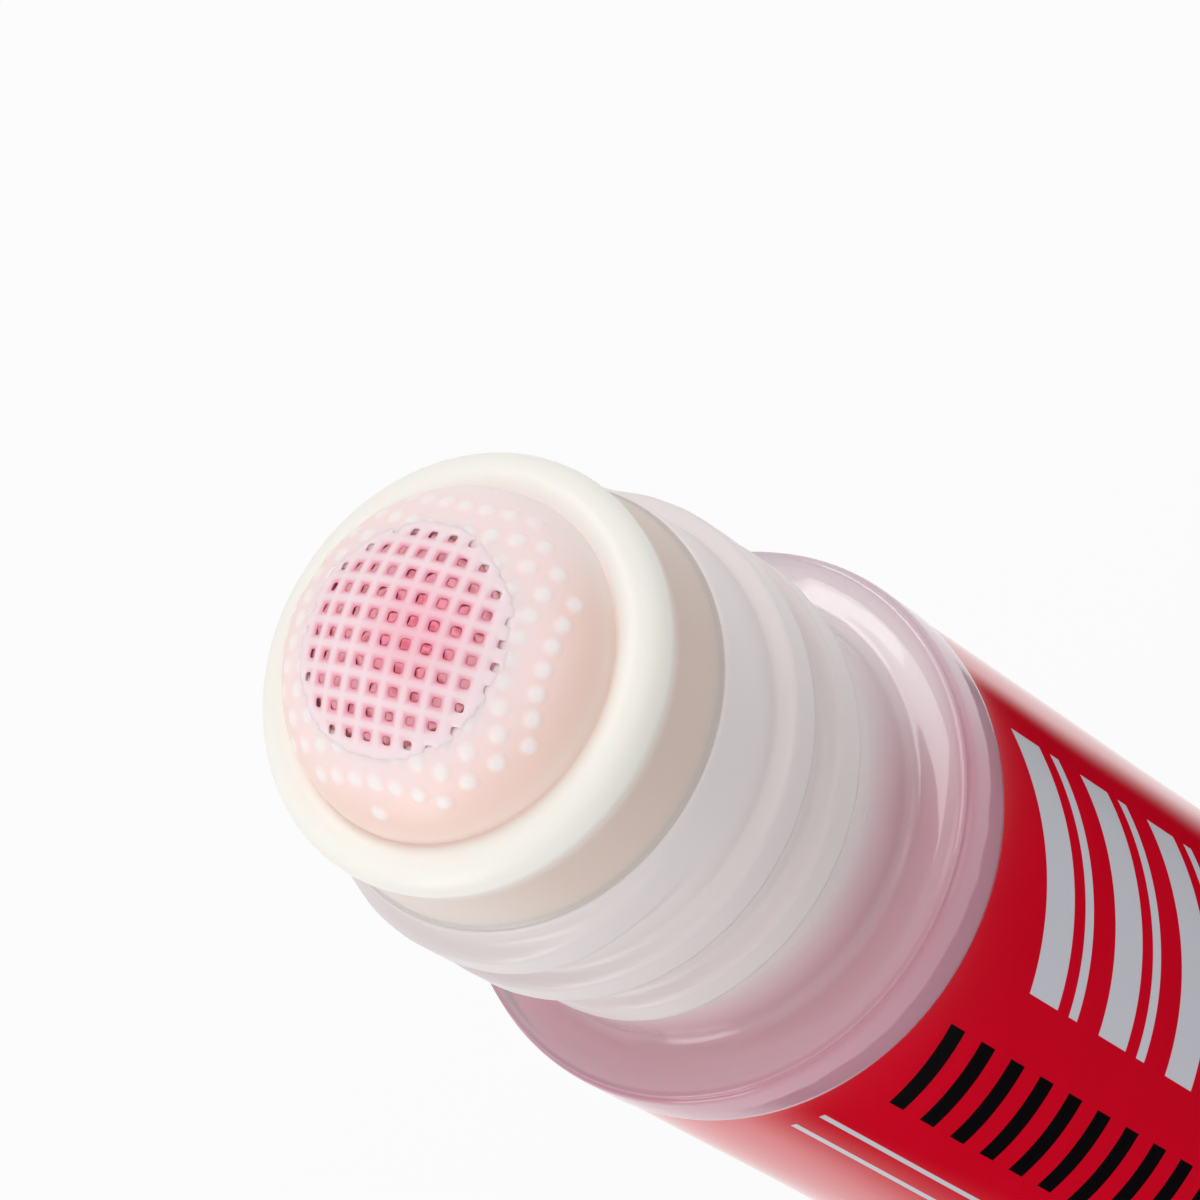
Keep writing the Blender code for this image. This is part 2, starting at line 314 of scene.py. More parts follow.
def softened(corners, reach, closed):
    """Walk a broken line in fine steps, then replace each point by the bell-weighted mean around it."""
    if closed:
        corners = np.concatenate([corners, corners[:1]])
    along = np.concatenate([[0.0], np.cumsum(np.hypot(*np.diff(corners, axis=0).T))])
    steps = np.linspace(0.0, along[-1], int(along[-1] / FINE), endpoint=not closed)
    line = np.stack([np.interp(steps, along, corners[:, k]) for k in (0, 1)], 1)
    half = int(BELL_SPREADS * reach / FINE)
    bell = np.exp(-0.5 * (np.arange(-half, half + 1) * FINE / reach) ** 2)
    bell /= bell.sum()
    if closed:
        wide = np.concatenate([line[-half:], line, line[:half]])
    else:
        before = 2 * line[0] - line[half:0:-1]
        after = 2 * line[-1] - line[-2:-half - 2:-1]
        wide = np.concatenate([before, line, after])
    return np.stack([np.convolve(wide[:, k], bell, "valid") for k in (0, 1)], 1)


def thinned(line, rows, closed, busy=None):
    """Keep that many points of a fine line, closest where it bends and where busy asks for more."""
    ahead = np.gradient(line, axis=0)
    heading = np.unwrap(np.arctan2(ahead[:, 1], ahead[:, 0]))
    worth = FINE + BEND_WORTH * np.abs(np.gradient(heading))
    if busy is not None:
        worth = worth + FINE * busy(line[:, 0], line[:, 1])
    along = np.cumsum(worth) - worth[0]
    marks = np.linspace(0.0, along[-1], rows, endpoint=not closed)
    return np.stack([np.interp(marks, along, line[:, k]) for k in (0, 1)], 1)


def turned(rows, turns, closed, relief=None):
    """Spin rows of (r, z) round Z: the point at angle a is (r cos a, r sin a, z), once relief moved them.

    A row on the axis becomes one point with a fan of triangles. Faces point out of the material when the
    outline runs down its outside.
    """
    angle = np.arange(turns) * math.tau / turns
    r, z = (np.broadcast_to(rows[:, k:k + 1], (len(rows), turns)) for k in (0, 1))
    if relief is not None:
        r, z = relief(r, z, angle[None, :])
    points = np.stack([r * np.cos(angle), r * np.sin(angle), z], -1)
    number = np.arange(len(rows) * turns).reshape(len(rows), turns)
    nearby = np.roll(number, -1, 1)
    pick = slice(None) if closed else slice(None, -1)
    quads = np.stack([number, np.roll(number, -1, 0), np.roll(nearby, -1, 0), nearby], -1)[pick]
    points, faces = points.reshape(-1, 3), quads.reshape(-1, 4).tolist()
    if not closed:
        last = len(rows) - 1
        middle = [[0, 0, z[0].mean()], [0, 0, z[last].mean()]]
        points = np.concatenate([points[turns:-turns], middle])
        tip, foot = len(points) - 2, len(points) - 1
        inner = (quads[1:-1] - turns).reshape(-1, 4).tolist()
        first = np.stack([np.full(turns, tip), number[0], nearby[0]], -1).tolist()
        final = np.stack([np.full(turns, foot), nearby[last - 2], number[last - 2]], -1).tolist()
        faces = inner + first + final
    return points, faces


print("outline helpers ready")

# %% Turn arrays into pieces


def piece(name, points, faces, material, body, node):
    """Make a smooth mesh of points and faces that rides on a body and stands for a solid."""
    mesh = bpy.data.meshes.new(name)
    mesh.from_pydata(points.tolist(), [], faces)
    mesh.shade_smooth()
    mesh.materials.append(material)
    made = bpy.data.objects.new(name, mesh)
    scene.collection.objects.link(made)
    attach(made, body)
    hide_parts(node)
    low, high = points.min(0) / MM, points.max(0) / MM
    print(name, len(faces), "faces, from", low.round(2), "to", high.round(2), "mm")
    return made


def mark(made, name, values):
    """Give each point of a piece a number that its material can read by name."""
    attribute = made.data.attributes.new(name, "FLOAT", "POINT")
    attribute.data.foreach_set("value", np.asarray(values, np.float32).ravel())


def ease(low, high, value):
    """A smooth step from 0 to 1 while value goes from low to high."""
    share = np.clip((value - low) / (high - low), 0.0, 1.0)
    return share * share * (3 - 2 * share)


print("piece helpers ready")

# %% [markdown]
# ## The bottle
# The real bottle is blown from clear plastic, thick at the neck and thin at the wall, with a low shoulder. A
# bevelled cylinder could stand for it. But clear plastic shows its inner face too, so the outline runs up
# the inside and down the outside, with a rounder corner inside that leaves the wall thick there.

# %% Bottle outline
NECK_RADIUS = 12.6 * MM
BORE_RADIUS = 10.9 * MM
SHOULDER = 75.5 * MM
SHOULDER_SLOPE = 10
CORNER = 1.4 * MM
WALL = 1.0 * MM
HEEL = 3.0 * MM
RING_INNER = 10.2 * MM
PUSH_UP = 2.0 * MM
SHOULDER_CROWN = 0.02 * MM
NECK_FILLET = 0.8 * MM
BORE_FILLET = 1.2 * MM
LIP_ROUND = 0.12 * MM
INNER_CORNER = 1.6 * MM
FILM_BED = 15.79 * MM
BED_MARGIN = 0.15 * MM
slope = math.tan(math.radians(SHOULDER_SLOPE))
lean = math.radians(90 - SHOULDER_SLOPE)


def base_hollow(lift, steps=40):
    """The push-up under the base: a shallow parabola over the standing ring's inner radius."""
    r = np.linspace(0.0, RING_INNER, steps)
    return np.stack([r, lift + PUSH_UP * (1 - (r / RING_INNER) ** 2)], 1)


def shoulder_height(radius, depth):
    """Height of the sloping shoulder at a radius, that far below its outer face."""
    foot_r = BODY_RADIUS - CORNER + (CORNER - depth) * math.cos(lean)
    return SHOULDER + (CORNER - depth) * math.sin(lean) + (foot_r - radius) * slope


def inner_corner(depth):
    """The rounder corner inside, that far below the outer faces: the wall is thick where it turns."""
    centre_r = BODY_RADIUS - depth - INNER_CORNER
    centre_z = shoulder_height(centre_r, depth) - INNER_CORNER / math.sin(lean)
    return arc(centre_r, centre_z, INNER_CORNER, 0, 90 - SHOULDER_SLOPE)


def fillet(radius, depth, round_off):
    """The round from an upright wall at a radius down to the slope that lies that deep in the shoulder."""
    centre_r = radius + round_off
    centre_z = shoulder_height(centre_r, depth) + round_off / math.sin(lean)
    return arc(centre_r, centre_z, round_off, 180, 270 - SHOULDER_SLOPE)


def crowned_shoulder(steps=20):
    """The shoulder's outer face, crowned a little over its straight slope so that a streak stays slim."""
    beside = 1 - math.cos(lean)
    r = np.linspace(NECK_RADIUS + NECK_FILLET * beside, BODY_RADIUS - CORNER * beside, steps)
    across = np.linspace(-1.0, 1.0, steps)
    return np.stack([r, shoulder_height(r, 0) + SHOULDER_CROWN * (1 - across ** 2)], 1)


inside = outline(base_hollow(WALL), arc(BODY_RADIUS - HEEL, HEEL, HEEL - WALL, -90, 0),
                 inner_corner(WALL), fillet(BORE_RADIUS, WALL, BORE_FILLET)[::-1], (BORE_RADIUS, LIP))
outside = outline(arc(NECK_RADIUS - LIP_ROUND, LIP - LIP_ROUND, LIP_ROUND, 90, 0),
                  fillet(NECK_RADIUS, 0, NECK_FILLET), crowned_shoulder(),
                  arc(BODY_RADIUS - CORNER, SHOULDER, CORNER, 90 - SHOULDER_SLOPE, 0),
                  (BODY_RADIUS, LABEL_TOP + BED_MARGIN), (FILM_BED, LABEL_TOP + BED_MARGIN),
                  (FILM_BED, LABEL_FOOT - BED_MARGIN), (BODY_RADIUS, LABEL_FOOT - BED_MARGIN),
                  arc(BODY_RADIUS - HEEL, HEEL, HEEL, 0, -90), base_hollow(0.0)[::-1])
print("bottle outline of", len(inside) + len(outside), "points")

# %% [markdown]
# The neck carries a coarse thread for a cap. It could be a separate coil laid on the neck, but a moulded one
# grows out of the wall. So the neck's own surface is raised along a helix, with a ridge that swells and dies
# away. The mould also left a fine ring on the shoulder's corner and a pinched seam under the base.

# %% Bottle surface
THREAD_CREST = 1.05 * MM
THREAD_HALF_WIDTH = 1.75 * MM
THREAD_FLANK = 0.75 * MM
THREAD_PITCH = 5.3 * MM
THREAD_HEIGHT = 91.3 * MM
THREAD_MARK = math.radians(300)
THREAD_TOP_TURN = 0.90
THREAD_FOOT_TURN = -1.35
THREAD_RUN_OUT = 0.16
THREAD_LAPS = range(-2, 2)
SEAM_DEPTH = 0.12 * MM
SEAM_HALF_WIDTH = 0.35 * MM
SEAM_REACH = 7.5 * MM
SEAM_FADE = 1.0 * MM
BEAD_HEIGHT = 0.14 * MM
BEAD_HALF_WIDTH = 0.16 * MM
BEAD_TURN = math.radians(42)
GROOVE_TURN = math.radians(28)
NECK_SKIN = 0.5 * MM
CORNER_SHARE = 0.6
NECK_WORTH = 9.0
CORNER_WORTH = 30.0
BASE_WORTH = 2.0
EDGE_ROUND = 0.16 * MM
BOTTLE_ROWS = 350
BOTTLE_TURNS = 270


def cap_thread(z, angle):
    """The ridge along a helix that climbs a pitch a turn: eased flanks, a flat crest and faded ends."""
    ridge = np.zeros_like(z)
    for lap in THREAD_LAPS:
        turn = (angle - THREAD_MARK) / math.tau + lap
        across = np.abs(z - THREAD_HEIGHT - THREAD_PITCH * turn)
        hump = ease(THREAD_HALF_WIDTH, THREAD_HALF_WIDTH - THREAD_FLANK, across)
        start = ease(THREAD_FOOT_TURN, THREAD_FOOT_TURN + THREAD_RUN_OUT, turn)
        stop = ease(THREAD_TOP_TURN, THREAD_TOP_TURN - THREAD_RUN_OUT, turn)
        ridge = np.maximum(ridge, hump * start * stop)
    return THREAD_CREST * ridge


def corner_bead(r, z):
    """The fine ring and groove of a mould joint on the shoulder's corner: a bell up, then a bell down."""
    turn = np.arctan2(z - SHOULDER, r - (BODY_RADIUS - CORNER))
    ball = np.hypot(z - SHOULDER, r - (BODY_RADIUS - CORNER))
    outer = (ball > CORNER - BEAD_HALF_WIDTH) & (turn > 0)
    ring = np.exp(-((turn - BEAD_TURN) * CORNER / BEAD_HALF_WIDTH) ** 2)
    groove = np.exp(-((turn - GROOVE_TURN) * CORNER / BEAD_HALF_WIDTH) ** 2)
    out = BEAD_HEIGHT * outer * (ring - groove)
    return out * np.cos(turn), out * np.sin(turn)


def bottle_relief(r, z, angle):
    """Raise the thread on the neck, the ring on the corner, and the pinched seam under the base."""
    neck = (r > (NECK_RADIUS + BORE_RADIUS) / 2) & (z > SHOULDER + CORNER)
    under = (r < RING_INNER) & (z < PUSH_UP + 0.5 * WALL)
    seam = np.exp(-(r * np.sin(angle) / SEAM_HALF_WIDTH) ** 2)
    seam = seam * (1 - ease(SEAM_REACH, SEAM_REACH + SEAM_FADE, r))
    bead_r, bead_z = corner_bead(r, z)
    return r + neck * cap_thread(z, angle) + bead_r, z - under * SEAM_DEPTH * seam + bead_z


def bottle_detail(r, z):
    """More rows on the neck's outside, which carries the thread, on the corner and under the base."""
    neck = (r > NECK_RADIUS - NECK_SKIN) & (z > SHOULDER + CORNER)
    corner = (r > BODY_RADIUS - CORNER_SHARE * CORNER) & (z > SHOULDER)
    return NECK_WORTH * neck + CORNER_WORTH * corner + BASE_WORTH * (z < PUSH_UP + WALL)


bottle_line = softened(np.concatenate([inside, outside]), EDGE_ROUND, False)
bottle_rows = thinned(bottle_line, BOTTLE_ROWS, False, bottle_detail)
bottle_points, bottle_faces = turned(bottle_rows, BOTTLE_TURNS, False, bottle_relief)
print("bottle of", len(bottle_points), "points")

# %% [markdown]
# The plastic is clear at the shoulder and hazy where it is thick, at the corner and up the neck. The side of
# the shoulder and wall that faces the light is painted paler and hazier, as painted light. A shader could
# scatter light inside the wall, which is slow and noisy. Here the haze is a share of plain plastic instead:
# pink by the glue at the wall, and almost white at the neck.

# %% Clear plastic
LIGHT_WAY = math.radians(10)
SHOULDER_LIGHT_REACH = (3.5 * MM, 13.0 * MM)
WALL_LIGHT_REACH = (8.0 * MM, 15.5 * MM)
WALL_TOP = (76.4 * MM, 77.0 * MM)
SHOULDER_TO_NECK = (77.0 * MM, 84.0 * MM)
NECK_PALES = (87.0 * MM, 97.0 * MM)
WALL_CLEAR = 0.34
UNLIT_CLEAR = 0.64
LIT_CLEAR = 0.36
NECK_CLEAR_SHARE = 0.26
SMOOTH = 0.05
NECK_ROUGH = 0.34
WAVE_SIZE = 3.0 * MM
WAVE_DEPTH = 0.02 * MM
clear, tree, shader = finish("clear_plastic", {"IOR": 1.49, "Specular IOR Level": 0.5})
point, (_, _, z) = place(tree)
# Painted light: the shoulder and wall are tinted paler and made hazier on the side that faces the light.
toward_light = towards(tree, point, LIGHT_WAY)
shoulder_light = rise(tree, toward_light, *SHOULDER_LIGHT_REACH)
plateau = blend(tree, shoulder_light, (0.97, 0.81, 0.86, 1.0), (0.97, 0.93, 0.95, 1.0))
wall_light = rise(tree, toward_light, *WALL_LIGHT_REACH)
wall = blend(tree, wall_light, (0.75, 0.41, 0.50, 1.0), (0.88, 0.72, 0.78, 1.0))
neck = blend(tree, rise(tree, z, *NECK_PALES), (0.84, 0.76, 0.75, 1.0), (0.89, 0.82, 0.81, 1.0))
tint = blend(tree, rise(tree, z, *WALL_TOP), wall, plateau)
tint = blend(tree, rise(tree, z, *SHOULDER_TO_NECK), tint, neck)
tree.links.new(tint, shader.inputs["Base Color"])
clear_by_light = add(tree, "MapRange", {"Value": shoulder_light, "To Min": UNLIT_CLEAR, "To Max": LIT_CLEAR})
shoulder_clear = rise(tree, z, *WALL_TOP, WALL_CLEAR, clear_by_light.outputs["Result"])
neck_share = rise(tree, z, *SHOULDER_TO_NECK, 1.0, NECK_CLEAR_SHARE)
through = calc(tree, "MULTIPLY", shoulder_clear, neck_share)
tree.links.new(through, shader.inputs["Transmission Weight"])
tree.links.new(rise(tree, z, *SHOULDER_TO_NECK, SMOOTH, NECK_ROUGH), shader.inputs["Roughness"])
dent(tree, shader, grain(tree, point, WAVE_SIZE), WAVE_DEPTH)
piece("clear_bottle", bottle_points, bottle_faces, clear, "bottle", "bottle")

# %% [markdown]
# ## The glue
# Glue wets the wall, so no air lies between the two. A gap there would act as a mirror. The glue's skin is
# therefore set a hair inside the plastic, and its top climbs the neck in a small meniscus.

# %% Glue
WET = 0.03 * MM
MENISCUS = 0.6 * MM
MENISCUS_POWER = 6
GLUE_ROWS = 150
GLUE_TURNS = 200
LEVEL_STEPS = 30
CLOUD_SIZE = 9.0 * MM
bore = BORE_RADIUS + WET
depth = WALL - WET
climb = np.linspace(0.0, 1.0, LEVEL_STEPS)
level = np.stack([bore * climb, GLUE_LEVEL - MENISCUS + MENISCUS * climb ** MENISCUS_POWER], 1)
pool = outline(level, fillet(bore, depth, BORE_FILLET - WET), inner_corner(depth)[::-1],
               arc(BODY_RADIUS - HEEL, HEEL, HEEL - depth, 0, -90), base_hollow(depth)[::-1])
glue_rows = thinned(softened(pool, EDGE_ROUND, False), GLUE_ROWS, False)
glue_points, glue_faces = turned(glue_rows, GLUE_TURNS, False)

glue, tree, shader = finish("pink_glue", {
    "Roughness": 0.25, "IOR": 1.4, "Specular IOR Level": 0.1, "Subsurface Weight": 0.5,
    "Subsurface Scale": 4.0 * MM, "Subsurface Radius": (1.0, 0.45, 0.5)})
point, _ = place(tree)
cloud = grain(tree, point, CLOUD_SIZE, detail=3.0)
pink = blend(tree, cloud, colour(246, 152, 176), colour(250, 170, 191))
tree.links.new(pink, shader.inputs["Base Color"])
piece("glue_pool", glue_points, glue_faces, glue, "bottle", "glue_fill")

# %% [markdown]
# ## The film label
# The label is a glossy printed film, wrapped once round the body and lapped over itself at the back. A
# tube would have no seam, so it is a strip instead: its radius steps up by one film where the end runs over
# the start.

# %% Film strip
FILM = 0.07 * MM
LAP = 5.0 * MM
LAP_LIFT = 1.15 * FILM
LAP_RAMP = 0.05
RIPPLE = 0.006 * MM
RIPPLE_WAVES = ((9, 4.0 * MM), (5, -3.0 * MM))
CUT_EDGE = 0.02 * MM
FILM_INNER = 15.80 * MM
FILM_COLUMNS = 420
FILM_ROWS = 60
BACK = math.pi / 2
lap_turn = LAP / BODY_RADIUS


def film_strip(columns, steps):
    """A strip round the body: angle runs once round plus the lap, and radius rises by a film at the lap."""
    wrap = np.linspace(0.0, math.tau + lap_turn, columns)
    lift = FILM_INNER + LAP_LIFT * ease(math.tau - LAP_RAMP, math.tau, wrap)
    height = np.linspace(LABEL_TOP - CUT_EDGE, LABEL_FOOT + CUT_EDGE, steps - 2)
    height = np.concatenate([[LABEL_TOP], height, [LABEL_FOOT]])
    angle = BACK + wrap[None, :]
    tall = height[:, None]
    ripple = sum(np.sin(count * angle + tall / length) for count, length in RIPPLE_WAVES)
    outer = lift + FILM + RIPPLE * ripple
    inner = np.broadcast_to(lift, outer.shape)[::-1]
    r = np.concatenate([outer, inner])
    tall = np.concatenate([height, height[::-1]])[:, None]
    points = np.stack([r * np.cos(angle), r * np.sin(angle), np.broadcast_to(tall, r.shape)], -1)
    number = np.arange(r.size).reshape(r.shape)
    ahead = np.roll(number, -1, 0)
    quads = np.stack([number[:, :-1], ahead[:, :-1], ahead[:, 1:], number[:, 1:]], -1).reshape(-1, 4)
    up, down = number[:steps, 0], number[steps:, 0][::-1]
    start = np.stack([up[:-1], down[:-1], down[1:], up[1:]], -1)
    up, down = number[:steps, -1], number[steps:, -1][::-1]
    end = np.stack([up[1:], down[1:], down[:-1], up[:-1]], -1)
    along = np.broadcast_to(wrap / math.tau, r.shape)
    return points.reshape(-1, 3), np.concatenate([quads, start, end]).tolist(), along.ravel()


film_points, film_faces, film_along = film_strip(FILM_COLUMNS, FILM_ROWS)
print("film of", len(film_points), "points, lapped", LAP / MM, "mm")

# %% [markdown]
# The print is generic: slanted bars in white and in black, in rows along the bottle. It could be a picture
# laid on the film. Here it is drawn from the strip's own numbers instead, so it follows the wrap and stays
# sharp. Each row holds whole bars only, so none is cut to a sliver. The film is scuffed dull near its foot.

# %% Printed film
PRINT_TOP = LABEL_TOP - 2.6 * MM
PRINT_FOOT = LABEL_FOOT + 4.0 * MM
PRINT_EDGE = 0.03 * MM
BAR_SLANT = 0.35
WHITE_ROW = (1.5 * MM, 16.0 * MM, 9.0 * MM, ((0.04, 0.44), (0.60, 0.72)))
BLACK_ROW = (-8.2 * MM, -2.2 * MM, 3.8 * MM, ((0.04, 0.50),))
RULES = (-11.4 * MM, -13.2 * MM)
RULE_HALF_WIDTH = 0.18 * MM
MOTTLE_SIZE = 6.0 * MM
SCUFFED = (12.0 * MM, 40.0 * MM)
SCUFFED_ROUGH = 0.45
GLOSSY = 0.08


def within(tree, value, low, high, soft=PRINT_EDGE):
    """One where a value lies between two limits, and zero outside them."""
    return calc(tree, "MULTIPLY", rise(tree, value, low - soft, low + soft),
                rise(tree, value, high - soft, high + soft, 1.0, 0.0))


def bars(tree, round_it, z, row):
    """A row of slanted bars between two places round the body: its strokes are repeated once a pitch."""
    low, high, pitch, strokes = row
    slant = calc(tree, "MULTIPLY", calc(tree, "SUBTRACT", round_it, high), BAR_SLANT)
    slid = calc(tree, "ADD", calc(tree, "SUBTRACT", PRINT_TOP, z), slant)
    phase = calc(tree, "FRACT", calc(tree, "DIVIDE", slid, pitch), 0.0)
    inked = 0.0
    for start, end in strokes:
        inked = calc(tree, "ADD", inked, within(tree, phase, start, end, PRINT_EDGE / pitch))
    count = int((PRINT_TOP - PRINT_FOOT - BAR_SLANT * (high - low)) / pitch)
    row_field = calc(tree, "MULTIPLY", within(tree, round_it, low, high),
                     within(tree, slid, 0.0, count * pitch))
    return calc(tree, "MULTIPLY", inked, row_field)


film, tree, shader = finish("red_film", {"IOR": 1.5})
point, (_, _, z) = place(tree)
tree.links.new(rise(tree, z, *SCUFFED, SCUFFED_ROUGH, GLOSSY), shader.inputs["Roughness"])
mottle = grain(tree, point, MOTTLE_SIZE)
red = blend(tree, mottle, colour(207, 5, 31), colour(219, 9, 40))
wrap = add(tree, "Attribute", attribute_name="wrap").outputs["Fac"]
round_it = calc(tree, "MULTIPLY", calc(tree, "SUBTRACT", wrap, 0.5), math.tau * BODY_RADIUS)
field = within(tree, z, PRINT_FOOT, PRINT_TOP)
white = bars(tree, round_it, z, WHITE_ROW)
for rule in RULES:
    line = within(tree, round_it, rule - RULE_HALF_WIDTH, rule + RULE_HALF_WIDTH)
    white = calc(tree, "ADD", white, calc(tree, "MULTIPLY", line, field))
printed = blend(tree, white, red, colour(212, 212, 220))
black = bars(tree, round_it, z, BLACK_ROW)
tree.links.new(blend(tree, black, printed, colour(14, 12, 14)), shader.inputs["Base Color"])
label = piece("film_label", film_points, film_faces, film, "bottle", "label")
mark(label, "wrap", film_along)

# %% [markdown]
# ## The stopper
# One soft ivory moulding makes the plug, the waist, the thick rounded rim and the dome's flank. The net was
# laid in the mould first, so the flank grips its edge: a thin skin runs in between the threads and stops
# short of the open middle. Rings could be stacked, but the real one is a single shell. So one closed outline
# runs over the skin and the rim, down the plug, and back up inside it to the pad's chamber.

# %% Stopper outline
DOME_RADIUS = 13.68 * MM
DOME_CENTRE = TIP - DOME_RADIUS
DOME_EDGE = math.radians(34)
FLANK_ROUND = 4.77 * MM
FLANK_END = math.radians(88)
SKIN_EDGE = 6.20 * MM
SKIN_FULL = 6.85 * MM
SKIN_DEPTH = 0.04 * MM
SKIN_EDGE_DEPTH = 0.34 * MM
FLANK_ASIDE = (DOME_RADIUS - FLANK_ROUND) * math.sin(DOME_EDGE)
FLANK_ABOVE = DOME_CENTRE + (DOME_RADIUS - FLANK_ROUND) * math.cos(DOME_EDGE)
DOME_REACH = DOME_EDGE * DOME_RADIUS
CHAMBER_DOME = 11.48 * MM
CHAMBER_RADIUS = 8.45 * MM
RIM_RING = 10.55 * MM
RIM_ROUND = 1.6 * MM
RIM_ARC = (120, -32)
WAIST_FOOT = 12.24 * MM
FOOT_FLARE = 0.22 * MM
LIP_GAP = 0.02 * MM
PLUG_RADIUS = 10.85 * MM
PLUG_TAPER = 0.4 * MM
PLUG_LEAD_IN = 0.6 * MM
GLUE_WAY = 8.8 * MM
SEAT_TOP = PAD_FLOOR - 0.05 * MM
SEAT_THICKNESS = 1.2 * MM
FEED_RADIUS = 5.0 * MM
LEDGE_TURN = 1.5


def dome(radius, start, end, steps=40):
    """Points on a sphere round the dome's centre; start and end are degrees off the axis."""
    turn = np.radians(np.linspace(start, end, steps))
    return np.stack([radius * np.sin(turn), DOME_CENTRE + radius * np.cos(turn)], 1)


def tip_surface(reach, depth):
    """The (r, z) that lies a reach along the tip's outer face from the top, and that deep under it.

    The face is the dome's sphere first, and then a tighter arc that turns down to the crease at the rim.
    """
    flank = reach > DOME_REACH
    turn = np.where(flank, DOME_EDGE + (reach - DOME_REACH) / FLANK_ROUND, reach / DOME_RADIUS)
    ball = np.where(flank, FLANK_ROUND, DOME_RADIUS) - depth
    return (np.where(flank, FLANK_ASIDE, 0.0) + ball * np.sin(turn),
            np.where(flank, FLANK_ABOVE, DOME_CENTRE) + ball * np.cos(turn))


def skin(steps=90):
    """The skin over the net: it starts low between the threads and rises until it buries them."""
    reach = np.linspace(SKIN_EDGE, DOME_REACH + (FLANK_END - DOME_EDGE) * FLANK_ROUND, steps)
    depth = SKIN_EDGE_DEPTH + (SKIN_DEPTH - SKIN_EDGE_DEPTH) * ease(SKIN_EDGE, SKIN_FULL, reach)
    return np.stack(tip_surface(reach, depth), 1)


edge_turn = math.degrees(SKIN_EDGE / DOME_RADIUS)
chamber_turn = math.degrees(math.asin(CHAMBER_RADIUS / CHAMBER_DOME))
plug_foot = PLUG_RADIUS - PLUG_TAPER
stopper_line = outline(
    skin(), arc(RIM_RING, RIM, RIM_ROUND, *RIM_ARC), (WAIST_FOOT, LIP + LIP_GAP + FOOT_FLARE),
    (WAIST_FOOT + FOOT_FLARE, LIP + LIP_GAP), (PLUG_RADIUS, LIP + LIP_GAP),
    (plug_foot, PLUG_END + PLUG_LEAD_IN), (plug_foot - PLUG_LEAD_IN, PLUG_END), (GLUE_WAY, PLUG_END),
    (GLUE_WAY, SEAT_TOP - SEAT_THICKNESS), (FEED_RADIUS, SEAT_TOP - SEAT_THICKNESS),
    (FEED_RADIUS, SEAT_TOP), (CHAMBER_RADIUS, SEAT_TOP),
    dome(CHAMBER_DOME, chamber_turn, edge_turn + LEDGE_TURN))
print("stopper outline of", len(stopper_line), "points")

# %% [markdown]
# Out on the flank the skin covers the threads, and only a round knuckle shows over each crossing. Balls
# could be set there. Here the flank itself rises by its distance from the net's nearest crossing, so
# knuckles and net always agree. The skin's edge wanders a little, as flash does, and lies off centre.

# %% Knuckles of the buried net
NET_PITCH = 1.287 * MM
NET_TURN = math.radians(17.74)
NET_SHIFT = (0.12 * MM, -0.19 * MM)
NET_REACH = 9.2 * MM
STRETCH_FROM = 6.68 * MM
STRETCH = 0.44
KNUCKLE_HEIGHT = 0.10 * MM
KNUCKLE_CORE = 0.22 * MM
KNUCKLE_FOOT = 0.62 * MM
turn_c, turn_s = math.cos(NET_TURN), math.sin(NET_TURN)


def off_crossing(reach, way):
    """How far a place on the tip lies from the net's nearest crossing, along both sets of threads.

    The net was pulled longer on the flank, so the place is looked up on the flat net. Its reach there and
    the pull come back too.
    """
    pull = np.where(reach > STRETCH_FROM, 1 + STRETCH, 1.0)
    flat = STRETCH_FROM + (reach - STRETCH_FROM) / pull
    a, b = flat * np.cos(way) - NET_SHIFT[0], flat * np.sin(way) - NET_SHIFT[1]
    u, v = a * turn_c + b * turn_s, b * turn_c - a * turn_s
    return u - NET_PITCH * np.round(u / NET_PITCH), v - NET_PITCH * np.round(v / NET_PITCH), flat, pull


def knuckle(reach, way):
    """The bump over the buried net's nearest crossing, 0 to 1: it falls with distance on the pulled net."""
    off_u, off_v, flat, pull = off_crossing(reach, way)
    off_a, off_b = off_u * turn_c - off_v * turn_s, off_u * turn_s + off_v * turn_c
    outward = (off_a * np.cos(way) + off_b * np.sin(way)) * pull
    aside = off_b * np.cos(way) - off_a * np.sin(way)
    crossing = np.hypot(flat * np.cos(way) - off_a, flat * np.sin(way) - off_b)
    held = crossing < NET_REACH - KNUCKLE_CORE
    return ease(KNUCKLE_FOOT, KNUCKLE_CORE, np.hypot(outward, aside)) * held


print("net of", round(2 * NET_REACH / NET_PITCH), "threads each way")

# %% Stopper surface
FACE_DEPTH = 0.5 * MM
EDGE_DEPTH = 1.9 * MM
FACE_END = 11.0 * MM
WANDER = 0.09 * MM
WANDER_WAVES = ((1.0, 5, 0.0), (0.7, 9, 1.3), (0.5, 14, 0.4))
WANDER_FADE = 1.6 * MM
OFF_CENTRE = 0.42 * MM
OFF_CENTRE_WAY = math.radians(128)
SOFT_EDGE = 0.09 * MM
FACE_WORTH = 5.0
STOPPER_ROWS = 250
STOPPER_TURNS = 384


def tip_place(r, z):
    """The reach along the tip's outer face and the depth under it: tip_surface the other way round."""
    turn = np.arctan2(r, z - DOME_CENTRE)
    flank_turn = np.arctan2(r - FLANK_ASIDE, z - FLANK_ABOVE)
    flank = turn > DOME_EDGE
    reach = np.where(flank, DOME_REACH + (flank_turn - DOME_EDGE) * FLANK_ROUND, turn * DOME_RADIUS)
    ball = np.where(flank, np.hypot(r - FLANK_ASIDE, z - FLANK_ABOVE), np.hypot(r, z - DOME_CENTRE))
    return reach, np.where(flank, FLANK_ROUND, DOME_RADIUS) - ball


def bump_at(r, z, angle):
    """The knuckle at a point of the stopper, 0 to 1: it fades in as the skin closes over the threads."""
    reach, depth = tip_place(r, z)
    face = (reach < FACE_END) & (depth < FACE_DEPTH)
    return face * ease(SKIN_EDGE, SKIN_FULL, reach) * knuckle(reach, angle)


